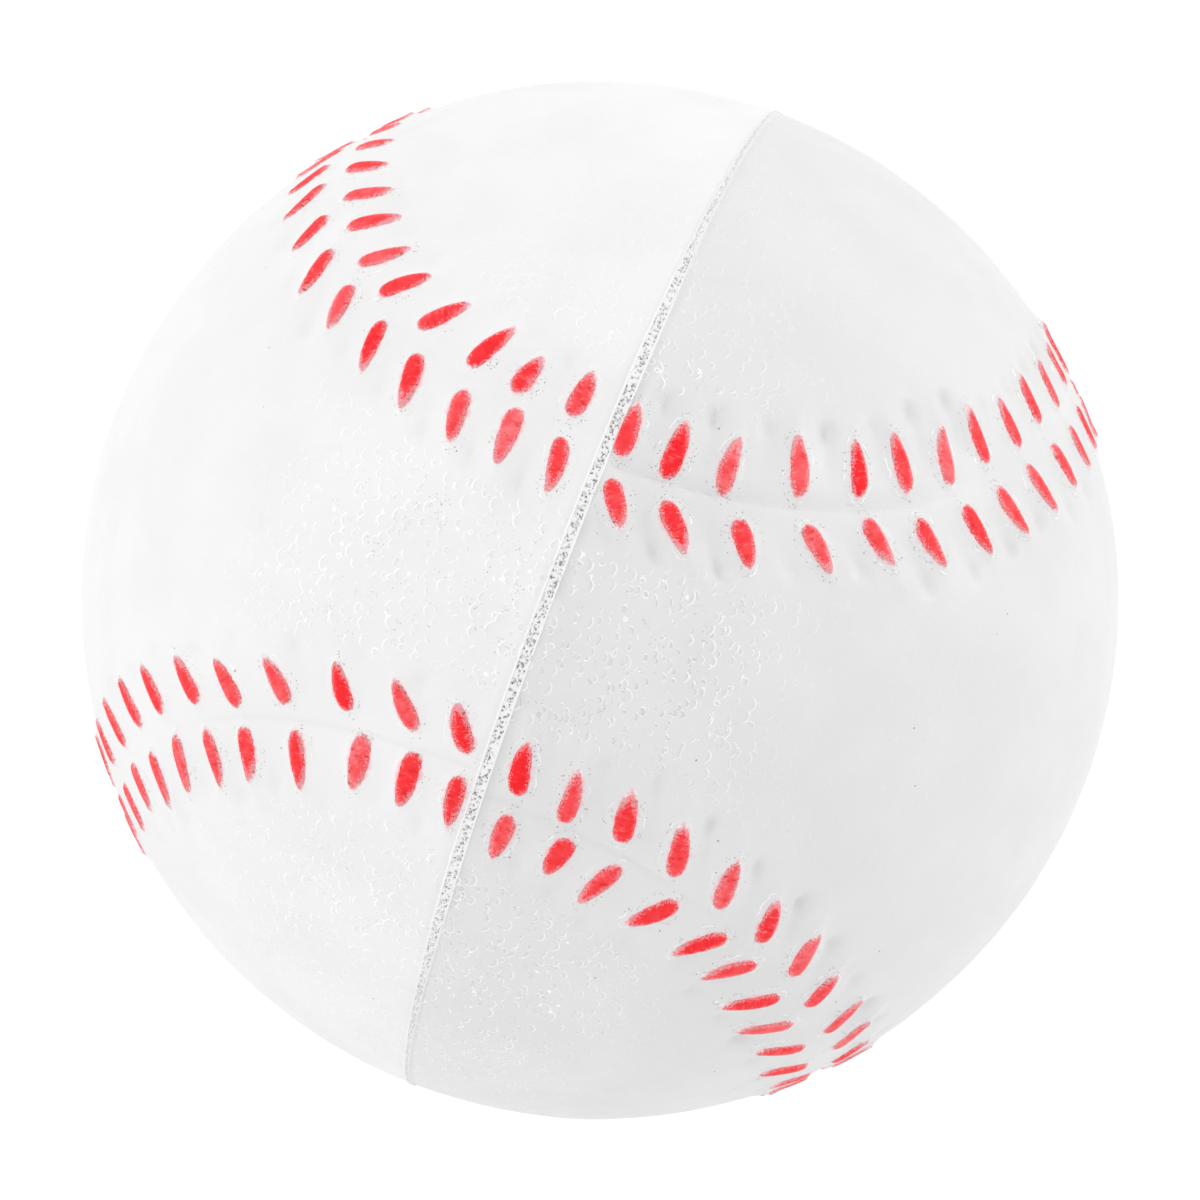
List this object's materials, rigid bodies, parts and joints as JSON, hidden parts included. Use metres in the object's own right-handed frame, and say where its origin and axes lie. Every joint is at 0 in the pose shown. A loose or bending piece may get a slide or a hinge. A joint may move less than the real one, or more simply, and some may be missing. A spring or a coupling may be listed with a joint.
{
  "type": "foam baseball",
  "caption": "Soft moulded foam ball with a raised, painted baseball seam, for safe throwing, catching and batting practice.",
  "frame": {"origin": "middle of the ball", "axes": "the mould halves part on the plane X = 0 and +X goes through the right one; +Z comes out midway between the two places where the seam crosses the parting line; +Y points to the upper of these two crossings in the picture"},
  "size_m": [0.063, 0.0632, 0.0632],
  "materials": {
    "foam": "open-cell cut foam, matt and porous",
    "skin": "dense white moulded skin with a pebbled grain, satin",
    "paint": "thin red paint with feathered, speckled edges"
  },
  "bodies": {
    "root": {"foam_core": "foam", "left_skin": "skin", "right_skin": "skin", "left_top_row_paint": "paint", "left_bottom_row_paint": "paint", "right_top_row_paint": "paint", "right_bottom_row_paint": "paint"}
  },
  "joints": []
}
